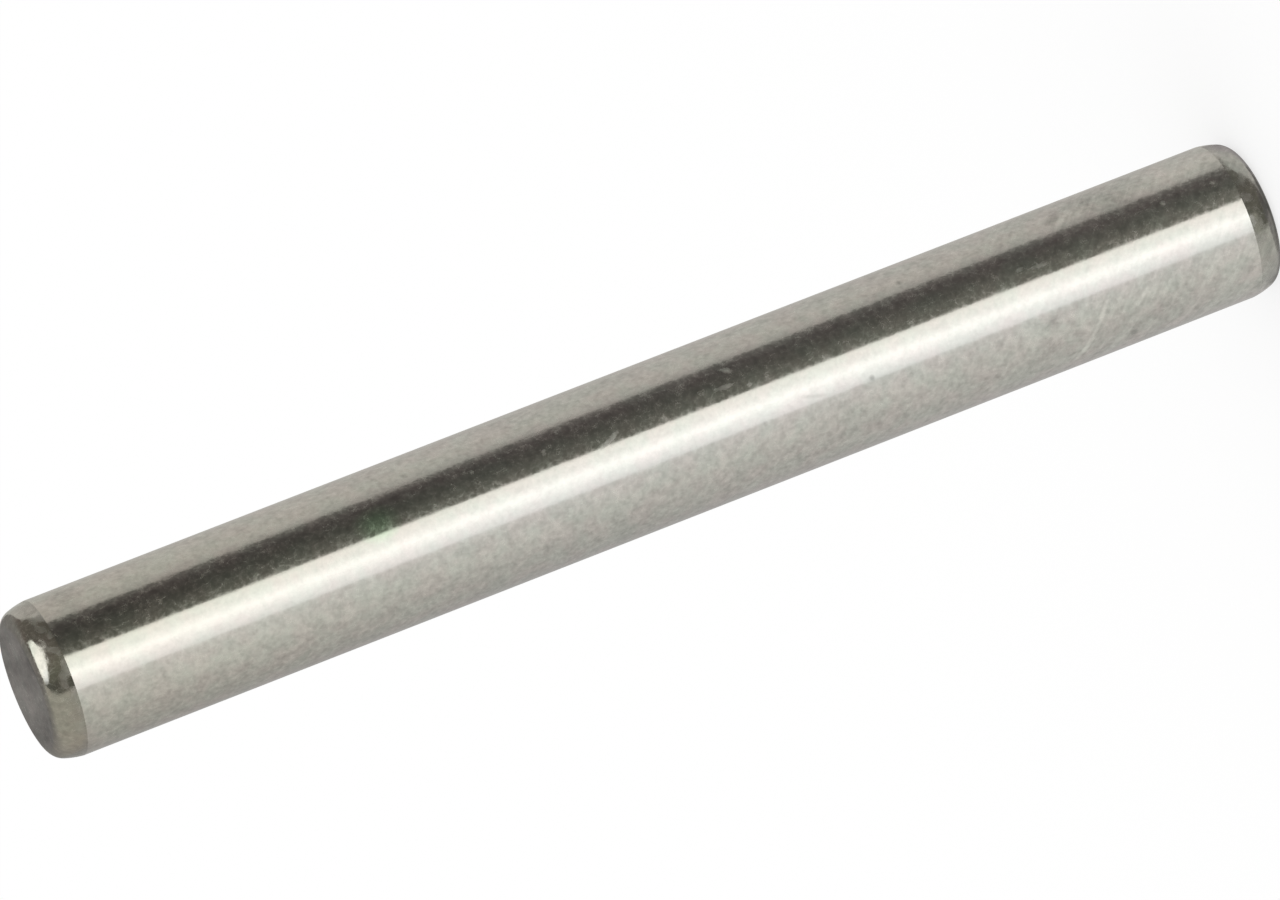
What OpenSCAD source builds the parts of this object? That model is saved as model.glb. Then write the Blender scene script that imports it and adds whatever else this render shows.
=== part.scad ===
// Axle pin: one plain round pin, turned and centreless ground from steel bar.
// It stands on one end face, with its axis along Z and the origin at the centre of that face.
// Both ends are alike: a slightly crowned chamfer leaves the body at a small angle, and runs
// into the flat end face through a tangent round, as a tumbled edge does.

/* [Pin] */
// Diameter of the ground body
pin_d = 3; // [1:0.1:10]
// Length over both end faces
pin_length = 25; // [5:0.5:100]

/* [Ends] */
// Length of each chamfer along the pin, from the end face to the body
chamfer_length = 0.55; // [0.35:0.05:1]
// Angle between the body and the chamfer where they meet
break_angle = 6; // [2:1:20]
// Radius of the chamfer's crown, seen in section
crown_r = 1.6; // [1:0.1:4]
// Radius of the round between the chamfer and the end face
edge_r = 0.3; // [0.05:0.05:0.4]

/* [Hidden] */
$fn = 128;
body_r = pin_d / 2;

// Centre of the crown's arc, which passes through the body's edge at the break angle.
crown_x = body_r - crown_r * cos(break_angle);
crown_z = chamfer_length + crown_r * sin(break_angle);

// Centre of the edge round, which touches the end face and the inside of the crown's arc.
// edge_angle is how far below the horizontal the two arcs meet, seen from that centre.
edge_angle = asin((crown_z - edge_r) / (crown_r - edge_r));
edge_x = crown_x + (crown_r - edge_r) * cos(edge_angle);

// What the chamfer takes off: all that lies below and outside the crown's arc.
module crown_waste() {
    reach = 2 * crown_r;
    translate([crown_x, crown_z])
        difference() {
            translate([0, -reach])
                square(reach);
            circle(r = crown_r);
        }
}

// What the round takes off: the corner between the crown's arc and the end face.
module edge_waste() {
    reach = 2 * edge_r;
    meets_crown = reach * [cos(edge_angle), -sin(edge_angle)];
    translate([edge_x, edge_r])
        difference() {
            polygon([[0, 0], meets_crown, [reach, -reach], [0, -reach]]);
            circle(r = edge_r);
        }
}

module end_waste() {
    crown_waste();
    edge_waste();
}

// Half of the pin's section, to the right of its axis.
module half_section() {
    difference() {
        square([body_r, pin_length]);
        end_waste();
        translate([0, pin_length])
            mirror([0, 1])
                end_waste();
    }
}

module axle_pin() {
    color([0.72, 0.71, 0.68])
        rotate_extrude()
            half_section();
}

axle_pin();
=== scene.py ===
import math

import bpy
from mathutils import Matrix, Vector


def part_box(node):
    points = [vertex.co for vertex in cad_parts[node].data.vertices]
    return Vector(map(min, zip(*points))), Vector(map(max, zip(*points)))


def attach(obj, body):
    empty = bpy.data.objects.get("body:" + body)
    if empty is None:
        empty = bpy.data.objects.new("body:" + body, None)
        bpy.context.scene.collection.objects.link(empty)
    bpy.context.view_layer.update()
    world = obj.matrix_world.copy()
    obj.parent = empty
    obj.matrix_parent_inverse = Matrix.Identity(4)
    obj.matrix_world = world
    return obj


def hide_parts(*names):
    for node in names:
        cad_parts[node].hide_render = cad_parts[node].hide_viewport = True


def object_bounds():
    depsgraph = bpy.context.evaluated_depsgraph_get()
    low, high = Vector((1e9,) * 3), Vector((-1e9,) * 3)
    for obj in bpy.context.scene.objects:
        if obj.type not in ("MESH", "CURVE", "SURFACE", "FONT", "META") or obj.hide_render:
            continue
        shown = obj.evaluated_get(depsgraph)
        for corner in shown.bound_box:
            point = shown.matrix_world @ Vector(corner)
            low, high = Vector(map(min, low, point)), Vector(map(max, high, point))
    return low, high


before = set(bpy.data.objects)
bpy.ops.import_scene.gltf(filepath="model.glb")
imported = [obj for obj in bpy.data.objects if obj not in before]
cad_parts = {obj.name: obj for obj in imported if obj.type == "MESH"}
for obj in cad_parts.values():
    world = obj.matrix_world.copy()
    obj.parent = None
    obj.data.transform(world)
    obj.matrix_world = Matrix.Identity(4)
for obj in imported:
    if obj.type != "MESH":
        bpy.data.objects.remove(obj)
cad_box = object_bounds()


# Camera. A long lens on a stand in front of the pin, a little above it and looking down,
# turned on its side so that the standing pin lies across the frame with its top at the left.
lowest_corner, highest_corner = cad_box
pin_middle = (lowest_corner + highest_corner) / 2
camera_distance = 0.200
looking_down = math.radians(15.28)
lean = math.radians(21.27)
aim_left = 0.000147
aim_down = 0.000061
toward_camera = Vector((0.0, -math.cos(looking_down), math.sin(looking_down)))
upright = Vector((0.0, math.sin(looking_down), math.cos(looking_down)))
picture_right = Vector((-math.sin(lean), 0.0, 0.0)) - math.cos(lean) * upright
picture_up = Vector((math.cos(lean), 0.0, 0.0)) - math.sin(lean) * upright

lens = bpy.data.cameras.new("camera")
lens.lens = 306.3
lens.sensor_width = 36.0
camera = bpy.data.objects.new("camera", lens)
bpy.context.scene.collection.objects.link(camera)
aim = pin_middle - aim_left * picture_right - aim_down * picture_up
eye = aim + camera_distance * toward_camera
camera.matrix_world = Matrix((
    (picture_right.x, picture_up.x, toward_camera.x, eye.x),
    (picture_right.y, picture_up.y, toward_camera.y, eye.y),
    (picture_right.z, picture_up.z, toward_camera.z, eye.z),
    (0.0, 0.0, 0.0, 1.0),
))
bpy.context.scene.camera = camera
bpy.context.scene.view_settings.view_transform = "Standard"


# Axle pin. One dowel of bright steel, parted from bar and turned at both ends to a crowned
# chamfer that rolls over into the flat end face. The body is centreless ground to size last,
# which leaves a crisp edge where it meets each crown.
_, head_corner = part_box("axle_pin")
body_radius = head_corner.x
pin_length = head_corner.z
chamfer_length = 0.00055
break_angle = math.radians(6)
crown_radius = 0.0016
edge_radius = 0.0003

crown_x = body_radius - crown_radius * math.cos(break_angle)
crown_z = chamfer_length + crown_radius * math.sin(break_angle)
edge_angle = math.asin((crown_z - edge_radius) / (crown_radius - edge_radius))
face_radius = crown_x + (crown_radius - edge_radius) * math.cos(edge_angle)

sides = 256
face_steps = 4
edge_steps = 10
crown_steps = 8
body_steps = 24


def end_profile():
    """Radius, height and lean of the surface, from the end face's middle out to the body."""
    square_on = math.pi / 2
    rings = [(face_radius * step / face_steps, 0.0, square_on) for step in range(face_steps + 1)]
    for step in range(1, edge_steps + 1):
        angle = square_on + (edge_angle - square_on) * step / edge_steps
        rings.append((face_radius + edge_radius * math.cos(angle),
                      edge_radius - edge_radius * math.sin(angle), angle))
    for step in range(1, crown_steps + 1):
        angle = edge_angle + (break_angle - edge_angle) * step / crown_steps
        rings.append((crown_x + crown_radius * math.cos(angle),
                      crown_z - crown_radius * math.sin(angle), angle))
    return rings


def turned_pin():
    """The whole pin as rings of points, with the true surface direction kept at every corner."""
    foot = [(radius, height, -angle) for radius, height, angle in end_profile()]
    head = [(radius, pin_length - height, angle) for radius, height, angle in end_profile()]
    body_span = pin_length - 2 * chamfer_length
    body = [(body_radius, chamfer_length + body_span * step / body_steps, 0.0)
            for step in range(body_steps + 1)]
    strips = [foot, body, head[::-1]]

    turns = [2 * math.pi * side / sides for side in range(sides)]
    points, ring_start = [], {}
    for strip in strips:
        for radius, height, _ in strip:
            ring = (round(radius, 9), round(height, 9))
            if ring in ring_start:
                continue
            ring_start[ring] = len(points)
            if radius == 0.0:
                points.append((0.0, 0.0, height))
            else:
                points += [(radius * math.cos(turn), radius * math.sin(turn), height)
                           for turn in turns]

    def corner(radius, height, side):
        start = ring_start[(round(radius, 9), round(height, 9))]
        return start if radius == 0.0 else start + side % sides

    def facing(angle, side):
        turn = 2 * math.pi * side / sides
        return (math.cos(angle) * math.cos(turn), math.cos(angle) * math.sin(turn), math.sin(angle))

    faces, directions = [], []
    for strip in strips:
        for low, high in zip(strip, strip[1:]):
            for side in range(sides):
                corners = [(low, side), (low, side + 1), (high, side + 1), (high, side)]
                if low[0] == 0.0:
                    corners.pop(0)
                if high[0] == 0.0:
                    corners.pop()
                faces.append([corner(radius, height, at) for (radius, height, _), at in corners])
                directions += [facing(angle, at) for (_, _, angle), at in corners]

    mesh = bpy.data.meshes.new("steel_pin")
    mesh.from_pydata(points, [], faces)
    mesh.shade_smooth()
    mesh.normals_split_custom_set(directions)
    mesh.validate()
    return mesh


pin = bpy.data.objects.new("steel_pin", turned_pin())
bpy.context.scene.collection.objects.link(pin)


class Wire:
    """One output of a shader node. Arithmetic on it adds Math nodes to the same tree."""

    tree = None

    def __init__(self, socket):
        self.socket = socket

    def __getitem__(self, name):
        return Wire(self.socket.node.outputs[name])

    @classmethod
    def node(cls, kind, settings=None, sockets=None):
        """A new node: its settings are made first, then its sockets get their values or wires."""
        made = cls.tree.nodes.new(kind)
        for name, value in (settings or {}).items():
            setattr(made, name, value)
        for name, value in (sockets or {}).items():
            socket = made.inputs[name] if isinstance(name, int) else next(
                s for s in made.inputs if s.enabled and s.name == name)
            if isinstance(value, Wire):
                cls.tree.links.new(value.socket, socket)
            else:
                socket.default_value = value
        return cls(next((out for out in made.outputs if out.enabled), None))

    @classmethod
    def math(cls, operation, *values, clamp=False):
        return cls.node("ShaderNodeMath", {"operation": operation, "use_clamp": clamp},
                        dict(enumerate(values)))

    def __add__(self, other):
        return self.math("ADD", self, other)

    def __sub__(self, other):
        return self.math("SUBTRACT", self, other)

    def __rsub__(self, other):
        return self.math("SUBTRACT", other, self)

    def __mul__(self, other):
        return self.math("MULTIPLY", self, other)

    __radd__ = __add__
    __rmul__ = __mul__


def begin_material(name):
    """A material with an empty tree, which takes the nodes that are made next."""
    material = bpy.data.materials.new(name)
    material.use_nodes = True
    Wire.tree = material.node_tree
    Wire.tree.nodes.clear()
    return material


def end_material(shader):
    """Lead this shader to the material's surface."""
    Wire.node("ShaderNodeOutputMaterial", None, {"Surface": shader})


def specks(place, per_mm, detail, roughness):
    """Noise from 0 to 1 about 0.5, with this many specks to the millimetre."""
    return Wire.node("ShaderNodeTexNoise", {"noise_dimensions": "3D"},
                     {"Vector": place, "Scale": per_mm, "Detail": detail, "Roughness": roughness})


def drawn_out(place, x=1.0, y=1.0, z=1.0):
    """The same place with its axes scaled. Specks come out longer along one scaled below 1."""
    return Wire.node("ShaderNodeVectorMath", {"operation": "MULTIPLY"}, {0: place, 1: (x, y, z)})


def above(value, start, end):
    """0 at start and beyond it, 1 at end and beyond it, and a straight run between them."""
    slope = 1.0 / (end - start)
    return Wire.math("MULTIPLY_ADD", value, slope, -start * slope, clamp=True)


def between(value, start, full, waning, end):
    """1 from full to waning, falling to 0 at start and at end."""
    return above(value, start, full) * (1.0 - above(value, waning, end))


def mixed(share, colour, other, blend_type="MIX"):
    """The colour with a share of the other one mixed in, or laid over it as a film."""
    return Wire.node("ShaderNodeMix", {"data_type": "RGBA", "blend_type": blend_type},
                     {"Factor": share, "A": colour, "B": other})


ground_steel = begin_material("ground_steel")
place_mm = Wire.node("ShaderNodeVectorMath", {"operation": "SCALE"},
                     {0: Wire.node("ShaderNodeTexCoord")["Object"], "Scale": 1000.0})
axes = Wire.node("ShaderNodeSeparateXYZ", None, {0: place_mm})
across, depth_in, up_pin = axes["X"], axes["Y"], axes["Z"]
radius_mm = body_radius * 1000
half_pin = pin_length * 1000 / 2
half_body = half_pin - chamfer_length * 1000
off_middle = Wire.math("ABSOLUTE", up_pin - half_pin)

# The crowns keep a duller turned skin with dark scale in its hollows, and a dark line where
# they begin. The rounds beyond them and the body are bright, and the end faces are cloudy.
turned_skin = between(off_middle, half_body, half_body + 0.02, half_body + 0.20, half_body + 0.28)
break_line = between(off_middle, half_body, half_body + 0.01, half_body + 0.02, half_body + 0.07)
scale_spots = above(specks(place_mm, 5.5, 0.0, 0.5), 0.40, 0.58) * turned_skin
end_face = above(off_middle, half_pin - 0.01, half_pin - 0.001)
clouds = (specks(drawn_out(place_mm, y=0.35), 1.7, 3.0, 0.6) - 0.5) * end_face

# Along a track down the front of the body, where the bright reflection falls, the marks are painted
# calmer in colour and kept calmer in roughness, so that the highlight reads clean. The track is made
# no brighter.
track_middle = 0.03
track_edge = 0.31
track_full = 0.22
round_pin = Wire.math("ARCTAN2", across * -1.0, depth_in * -1.0)
off_track = Wire.math("ABSOLUTE", round_pin - track_middle)
highlight_track = above(off_track, track_edge, track_full) * above(off_middle, half_body, half_body - 0.05)

# The wheel marks wind round the body, mostly near the foot. Turning each point back by its
# height makes them run straight, and a squeezed height draws the specks out into long marks.
wheel_turn_per_mm = 0.88
wound = Wire.node("ShaderNodeVectorRotate", {"rotation_type": "Z_AXIS"},
                  {"Vector": place_mm, "Angle": up_pin * wheel_turn_per_mm})
near_foot = above(up_pin, 9.0, 3.0)
wheel_marks = (specks(drawn_out(wound, z=0.16), 4.0, 3.0, 0.6) - 0.5) * (
    near_foot * 0.85 + 0.15) * (1.0 - highlight_track * 0.7)

# Fine grain and a broader mottle, both weaker on the highlight track and the crowns, and the curled
# marks of tumbling, which are a little longer up the pin than round it and miss the highlight track.
grain = (specks(place_mm, 9.0, 2.0, 0.55) - 0.5) * (1.0 - highlight_track * 0.5 - turned_skin * 0.6)
mottle = (specks(place_mm, 4.2, 3.0, 0.6) - 0.5) * (1.0 - highlight_track * 0.7 - turned_skin * 0.5)
contour = Wire.math("ABSOLUTE", specks(drawn_out(place_mm, z=0.6), 5.5, 2.0, 0.5) - 0.5)
curls = above(contour, 0.045, 0.0) * (1.0 - highlight_track)
dull_specks = above(grain, -0.06, 0.16)


def mark(turn, height, slant, half_length, half_width):
    """1 inside one mark on the body and 0 outside, with a soft rim. It lies at a turn in
    degrees from the front and a height in mm, with its length up the pin but for its slant."""
    reach_in = 0.3
    rim = 1.1
    core = 0.3
    turn = math.radians(turn)
    slant = math.radians(slant)
    outward = Vector((-math.sin(turn), -math.cos(turn), 0.0))
    sideways = Vector((-math.cos(turn), math.sin(turn), 0.0))
    along = Vector((0.0, 0.0, math.cos(slant))) + math.sin(slant) * sideways
    lie = Matrix((along, outward.cross(along), outward)).transposed().to_euler()
    inside = Wire.node("ShaderNodeMapping", {"vector_type": "TEXTURE"},
                       {"Vector": place_mm, "Rotation": lie,
                        "Location": outward * radius_mm + Vector((0.0, 0.0, height)),
                        "Scale": (half_length, half_width, reach_in)})
    return above(Wire.node("ShaderNodeVectorMath", {"operation": "LENGTH"}, {0: inside}), rim, core)


def marks(*each):
    """Several marks together. The last number of each is its strength."""
    total = 0.0
    for *lie, strength in each:
        total = mark(*lie) * strength + total
    return total


# Nicks that catch the light.
nicks = marks(
    (-31.5, 10.95, -35, 0.14, 0.075, 1.0), (-29.9, 1.96, 0, 0.07, 0.07, 0.8),
    (-30.8, 0.91, 0, 0.06, 0.06, 0.5), (-29.1, 16.12, 0, 0.05, 0.05, 0.5),
    (-20.0, 11.14, 0, 0.24, 0.06, 0.6), (-19.4, 4.66, 0, 0.20, 0.06, 0.6),
    (-22.1, 5.03, 0, 0.14, 0.05, 0.5), (-23.6, 14.75, 70, 0.09, 0.05, 0.5),
    (-15.1, 10.68, 40, 0.07, 0.05, 0.4), (-14.8, 13.49, 24, 0.27, 0.055, 0.6),
    (8.9, 9.65, -16, 0.38, 0.05, 0.25))

# Dark pits, draws of the wheel and two broad darker patches, one near each end, and beside them the
# burnished streaks and one bright patch.
pits = marks(
    (12.2, 8.46, 0, 0.07, 0.07, 1.0), (14.9, 10.67, 0, 0.06, 0.06, 0.6),
    (-43.2, 2.54, 30, 0.10, 0.06, 0.6), (-49.2, 7.18, 0, 0.08, 0.08, 0.7),
    (-51.3, 11.09, 0, 0.07, 0.07, 0.5), (-47.8, 17.26, 0, 0.07, 0.07, 0.5),
    (58.1, 3.21, 68, 0.28, 0.11, 0.80), (44.5, 2.61, 53, 0.34, 0.14, 0.35),
    (38.1, 3.20, 40, 0.20, 0.08, 0.45), (62.0, 0.61, 56, 0.14, 0.12, 0.50),
    (-55.2, 3.91, 52, 0.33, 0.13, 0.55), (-56.8, 3.23, 47, 0.30, 0.12, 0.55),
    (21.3, 4.80, 39, 0.28, 0.06, 0.30), (43.2, 4.88, 44, 0.26, 0.09, 0.35),
    (-59.2, 23.98, 0, 0.45, 0.50, 0.40), (-58.0, 3.05, 0, 1.55, 0.60, 0.36))
streaks = marks(
    (54.9, 4.22, 57, 0.44, 0.075, 0.85), (32.4, 3.85, 59, 0.44, 0.060, 0.80),
    (31.6, 3.06, 44, 0.40, 0.065, 0.65), (31.8, 2.58, 42, 0.30, 0.075, 0.40),
    (-49.5, 3.80, 42, 0.40, 0.080, 0.70), (-50.9, 3.40, 42, 0.34, 0.080, 0.60),
    (54.6, 0.85, 55, 0.40, 0.090, 0.35), (-55.3, 1.35, 0, 1.10, 0.55, 0.25))

ground_roughness = 0.108
roughness = (ground_roughness + dull_specks * 0.09 + curls * (0.10 - turned_skin * 0.07)
             + mottle * 0.20 + nicks * 0.50 + scale_spots * 0.17)

# The steel runs from a greenish to a pinkish grey. One spot has a green film, and the steel is
# a little warmer toward the top.
green_steel = (0.574, 0.582, 0.556, 1.0)
pink_steel = (0.600, 0.574, 0.558, 1.0)
green_film = (0.52, 0.72, 0.54, 1.0)
top_warmth = (1.0, 0.99, 0.955, 1.0)
tint = mixed(above(specks(place_mm, 2.0, 3.0, 0.55), 0.38, 0.62), green_steel, pink_steel)
tint = mixed(mark(-19.0, 18.15, 0, 0.46, 0.36) * 0.8, tint, green_film)
tint = mixed(above(up_pin, 15.0, 23.0) * (1.0 - end_face), tint, top_warmth, "MULTIPLY")
plain_shade = 0.955
shade = (plain_shade + mottle * 0.50 + clouds * 2.4 + grain * 0.52 + dull_specks * 0.03
         + curls * 0.08 + wheel_marks * 0.50 + streaks * 0.35 - pits * 0.35
         - break_line * 0.10 - scale_spots * 0.08)
colour = Wire.node("ShaderNodeVectorMath", {"operation": "SCALE"}, {0: tint, "Scale": shade})

relief_depth = 0.000001
relief = Wire.node("ShaderNodeBump", None,
                   {"Strength": 1.0, "Distance": relief_depth,
                    "Height": grain * 0.6 + wheel_marks * 2.5 + mottle * 3.0})
end_material(Wire.node("ShaderNodeBsdfPrincipled", None,
                       {"Base Color": colour, "Metallic": 1.0, "Roughness": roughness,
                        "Normal": relief}))
pin.data.materials.append(ground_steel)

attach(pin, "root")
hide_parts("axle_pin")


# Floor. A sheet of matt white laminate that the pin stands on, wide enough to fill every view.
# Most of its white is its own, and only the lit share takes the light and the pin's shadow.
# The polish of the pin mirrors the cards below it in place of the floor.
floor_half = 2.0
lit_share = 0.28
own_share = 1.0 - lit_share
floor_mesh = bpy.data.meshes.new("floor")
floor_mesh.from_pydata(
    [(-floor_half, -floor_half, 0.0), (floor_half, -floor_half, 0.0),
     (floor_half, floor_half, 0.0), (-floor_half, floor_half, 0.0)], [], [(0, 1, 2, 3)])
floor = bpy.data.objects.new("floor", floor_mesh)
bpy.context.scene.collection.objects.link(floor)
floor.visible_glossy = False

white_laminate = begin_material("white_laminate")
ray = Wire.node("ShaderNodeLightPath")
seen = Wire.math("MAXIMUM", Wire.math("MAXIMUM", ray["Is Camera Ray"], ray["Is Glossy Ray"]),
                 ray["Is Transmission Ray"])
own_white = mixed(seen, (0.0, 0.0, 0.0, 1.0), (own_share, own_share, own_share, 1.0))
end_material(Wire.node("ShaderNodeBsdfPrincipled", None,
                       {"Base Color": (lit_share, lit_share, lit_share, 1.0), "Roughness": 1.0,
                        "Specular IOR Level": 0.0, "Emission Color": own_white,
                        "Emission Strength": 1.0}))
floor_mesh.materials.append(white_laminate)


# Studio. Even white light from all round, and curved painted cards that glow and that only
# the polish of the pin mirrors. Level with it stand two side walls, a fascia, a dark flag and
# a bright front panel. A ceiling and a softbox hang above, and darker boards lie below.
room = bpy.data.worlds.new("studio")
room.use_nodes = True
room.node_tree.nodes["Background"].inputs["Color"].default_value = (1.0, 1.0, 1.0, 1.0)
room.node_tree.nodes["Background"].inputs["Strength"].default_value = 1.0
bpy.context.scene.world = room

card_glow = begin_material("card_glow")
paint_colour = Wire.node("ShaderNodeAttribute", {"attribute_name": "glow"})
end_material(Wire.node("ShaderNodeEmission", None, {"Color": paint_colour, "Strength": 1.0}))
card_glow.cycles.emission_sampling = "NONE"


def card(name, distance, posts):
    """A curved card round the pin, painted from post to post. A post is its azimuth, the
    elevations of its foot and head, its colour, and where the card darkens upward, the share
    of the colour that is left at the head. The angles are degrees seen from the pin's middle,
    and azimuths run from the camera, positive to the left of a viewer facing the pin."""
    rows = 20
    degrees_per_column = 2
    posts = [(azimuth, foot, head, *colour, *(fade or [1.0]))
             for azimuth, foot, head, colour, *fade in posts]
    columns = []
    for here, there in zip(posts, posts[1:]):
        steps = max(1, round((there[0] - here[0]) / degrees_per_column))
        for step in range(steps + (there is posts[-1])):
            columns.append([a + (b - a) * step / steps for a, b in zip(here, there)])
    points, paint = [], []
    for row in range(rows + 1):
        up_card = row / rows
        for azimuth, foot, head, *colour, fade in columns:
            turn = math.radians(azimuth)
            rise = math.radians(foot + (head - foot) * up_card)
            way = Vector((-math.sin(turn) * math.cos(rise), -math.cos(turn) * math.cos(rise),
                          math.sin(rise)))
            points.append(pin_middle + distance * way)
            paint += [part * (1.0 + (fade - 1.0) * up_card) for part in colour] + [1.0]
    width = len(columns)
    faces = [(start, start + 1, start + width + 1, start + width)
             for row in range(rows) for start in range(row * width, (row + 1) * width - 1)]
    mesh = bpy.data.meshes.new(name)
    mesh.from_pydata(points, [], faces)
    mesh.color_attributes.new("glow", "FLOAT_COLOR", "POINT").data.foreach_set("color", paint)
    mesh.materials.append(card_glow)
    made = bpy.data.objects.new(name, mesh)
    bpy.context.scene.collection.objects.link(made)
    for kind_of_ray in ("camera", "diffuse", "shadow", "transmission", "volume_scatter"):
        setattr(made, f"visible_{kind_of_ray}", False)


# Level with the pin, where its ground body looks.
card("left_wall", 1.0, [(-180, -22, 0, (0.54, 0.52, 0.49)), (-150, -22, -6, (0.61, 0.59, 0.55)),
                        (-137, -25, -6, (0.64, 0.62, 0.575)), (-120, -29, -6, (0.68, 0.66, 0.61)),
                        (-100, -27, -6, (0.67, 0.65, 0.59)), (-90, -26, -5, (0.62, 0.60, 0.55)),
                        (-80, -26, -4, (0.52, 0.50, 0.46))])
card("fascia", 0.98, [(-180, -9, 0, (0.56, 0.55, 0.52)), (-150, -9, 6, (0.57, 0.56, 0.52)),
                      (-126, -9, 15, (0.57, 0.56, 0.52)), (-112, -9, 10, (0.57, 0.56, 0.52)),
                      (-103, -9, 5, (0.56, 0.56, 0.52)), (-92, -9, 2, (0.52, 0.52, 0.49)),
                      (-84, -9, -3, (0.44, 0.44, 0.43))])
card("dark_flag", 1.0, [(-80, -26, -4, (0.24, 0.23, 0.21), 0.8),
                        (-66, -29, -4, (0.19, 0.17, 0.16), 0.2),
                        (-48, -29, -4, (0.22, 0.22, 0.19), 0.12),
                        (-33, -29, -4, (0.33, 0.33, 0.28), 0.2),
                        (-21.9, -29, -4, (0.28, 0.28, 0.23), 0.5)])
card("front_panel", 1.0, [(-21.9, -26, -5, (1.48, 1.46, 1.35)), (-8, -26, -5, (1.49, 1.50, 1.42)),
                          (4, -26, -5, (1.91, 1.90, 1.84)), (16, -26, -5, (1.52, 1.51, 1.48)),
                          (28, -26, -5, (1.24, 1.24, 1.22))])
card("right_wall", 1.0, [(28, -27, -4, (0.92, 0.91, 0.87)),
                         (60, -28, -4, (0.84, 0.84, 0.78), 0.9),
                         (90, -29, -4, (0.82, 0.80, 0.75), 0.65),
                         (120, -28, -3, (0.83, 0.82, 0.77), 0.42),
                         (150, -26, -2, (0.68, 0.66, 0.64), 0.45),
                         (180, -22, 0, (0.50, 0.49, 0.48), 0.6)])

# Above, where the top crown looks.
card("ceiling", 1.2, [(-180, -5, 90, (0.23, 0.22, 0.21)), (-140, -5, 90, (0.28, 0.27, 0.25)),
                      (-112, -5, 90, (0.17, 0.15, 0.13)), (-85, -5, 90, (0.14, 0.13, 0.11)),
                      (-50, -5, 90, (0.14, 0.13, 0.11)), (-20, -6, 90, (0.20, 0.19, 0.15)),
                      (0, -6, 90, (0.18, 0.18, 0.14)), (12, -6, 90, (0.11, 0.11, 0.09)),
                      (22, -6, 90, (0.10, 0.10, 0.08)), (26, -6, 90, (0.46, 0.44, 0.38)),
                      (110, -5, 90, (0.46, 0.44, 0.38)), (150, -5, 90, (0.33, 0.32, 0.29)),
                      (180, -5, 90, (0.23, 0.22, 0.21))])
card("softbox", 1.1, [(-95, 60, 84, (1.2, 1.3, 1.2)), (-80, 43, 84, (1.40, 1.45, 1.33)),
                      (-66, 26, 84, (1.48, 1.53, 1.40)), (-52, 20, 84, (1.52, 1.56, 1.44)),
                      (-38, 20, 84, (1.52, 1.56, 1.44)), (-26, 22, 84, (1.50, 1.54, 1.44)),
                      (-14, 28, 84, (1.45, 1.50, 1.44)), (-4, 42, 84, (1.35, 1.40, 1.40)),
                      (4, 54, 84, (1.1, 1.15, 1.15))])

# Below, where the foot crown looks.
card("apron", 1.2, [(-180, -70, -18, (0.20, 0.19, 0.18)), (-155, -70, -18, (0.36, 0.34, 0.34)),
                    (-130, -70, -18, (0.49, 0.47, 0.46)), (-114, -70, -18, (0.50, 0.48, 0.46)),
                    (-106, -70, -18, (0.16, 0.15, 0.13)), (5, -70, -18, (0.15, 0.15, 0.12)),
                    (34, -70, -18, (0.16, 0.16, 0.13)), (37, -70, -18, (0.56, 0.56, 0.50)),
                    (100, -70, -18, (0.56, 0.55, 0.51)), (130, -70, -18, (0.48, 0.47, 0.45)),
                    (155, -70, -18, (0.30, 0.29, 0.28)), (180, -70, -18, (0.20, 0.19, 0.18))])
card("side_board", 1.1, [(-128, -70, -28, (0.52, 0.51, 0.48)), (-105, -70, -29, (0.56, 0.56, 0.51)),
                         (-90, -70, -30.5, (0.57, 0.57, 0.52)), (-80, -68, -33, (0.56, 0.57, 0.52)),
                         (-72, -66, -39, (0.53, 0.54, 0.49)), (-64, -64, -45, (0.48, 0.48, 0.44)),
                         (-57, -62, -53, (0.36, 0.36, 0.33))])
card("olive_board", 1.1, [(4, -44, -30, (0.38, 0.38, 0.32)), (34, -44, -30, (0.36, 0.36, 0.30))])
card("under_cloth", 1.15, [(-180, -90, -54, (0.14, 0.14, 0.13)), (-120, -90, -54, (0.16, 0.16, 0.15)),
                           (-75, -90, -54, (0.30, 0.30, 0.28)), (-58, -90, -57, (0.13, 0.12, 0.11)),
                           (0, -90, -54, (0.13, 0.13, 0.12)), (40, -90, -54, (0.24, 0.23, 0.22)),
                           (100, -90, -54, (0.32, 0.31, 0.29)), (150, -90, -54, (0.20, 0.19, 0.18)),
                           (180, -90, -54, (0.14, 0.14, 0.13))])
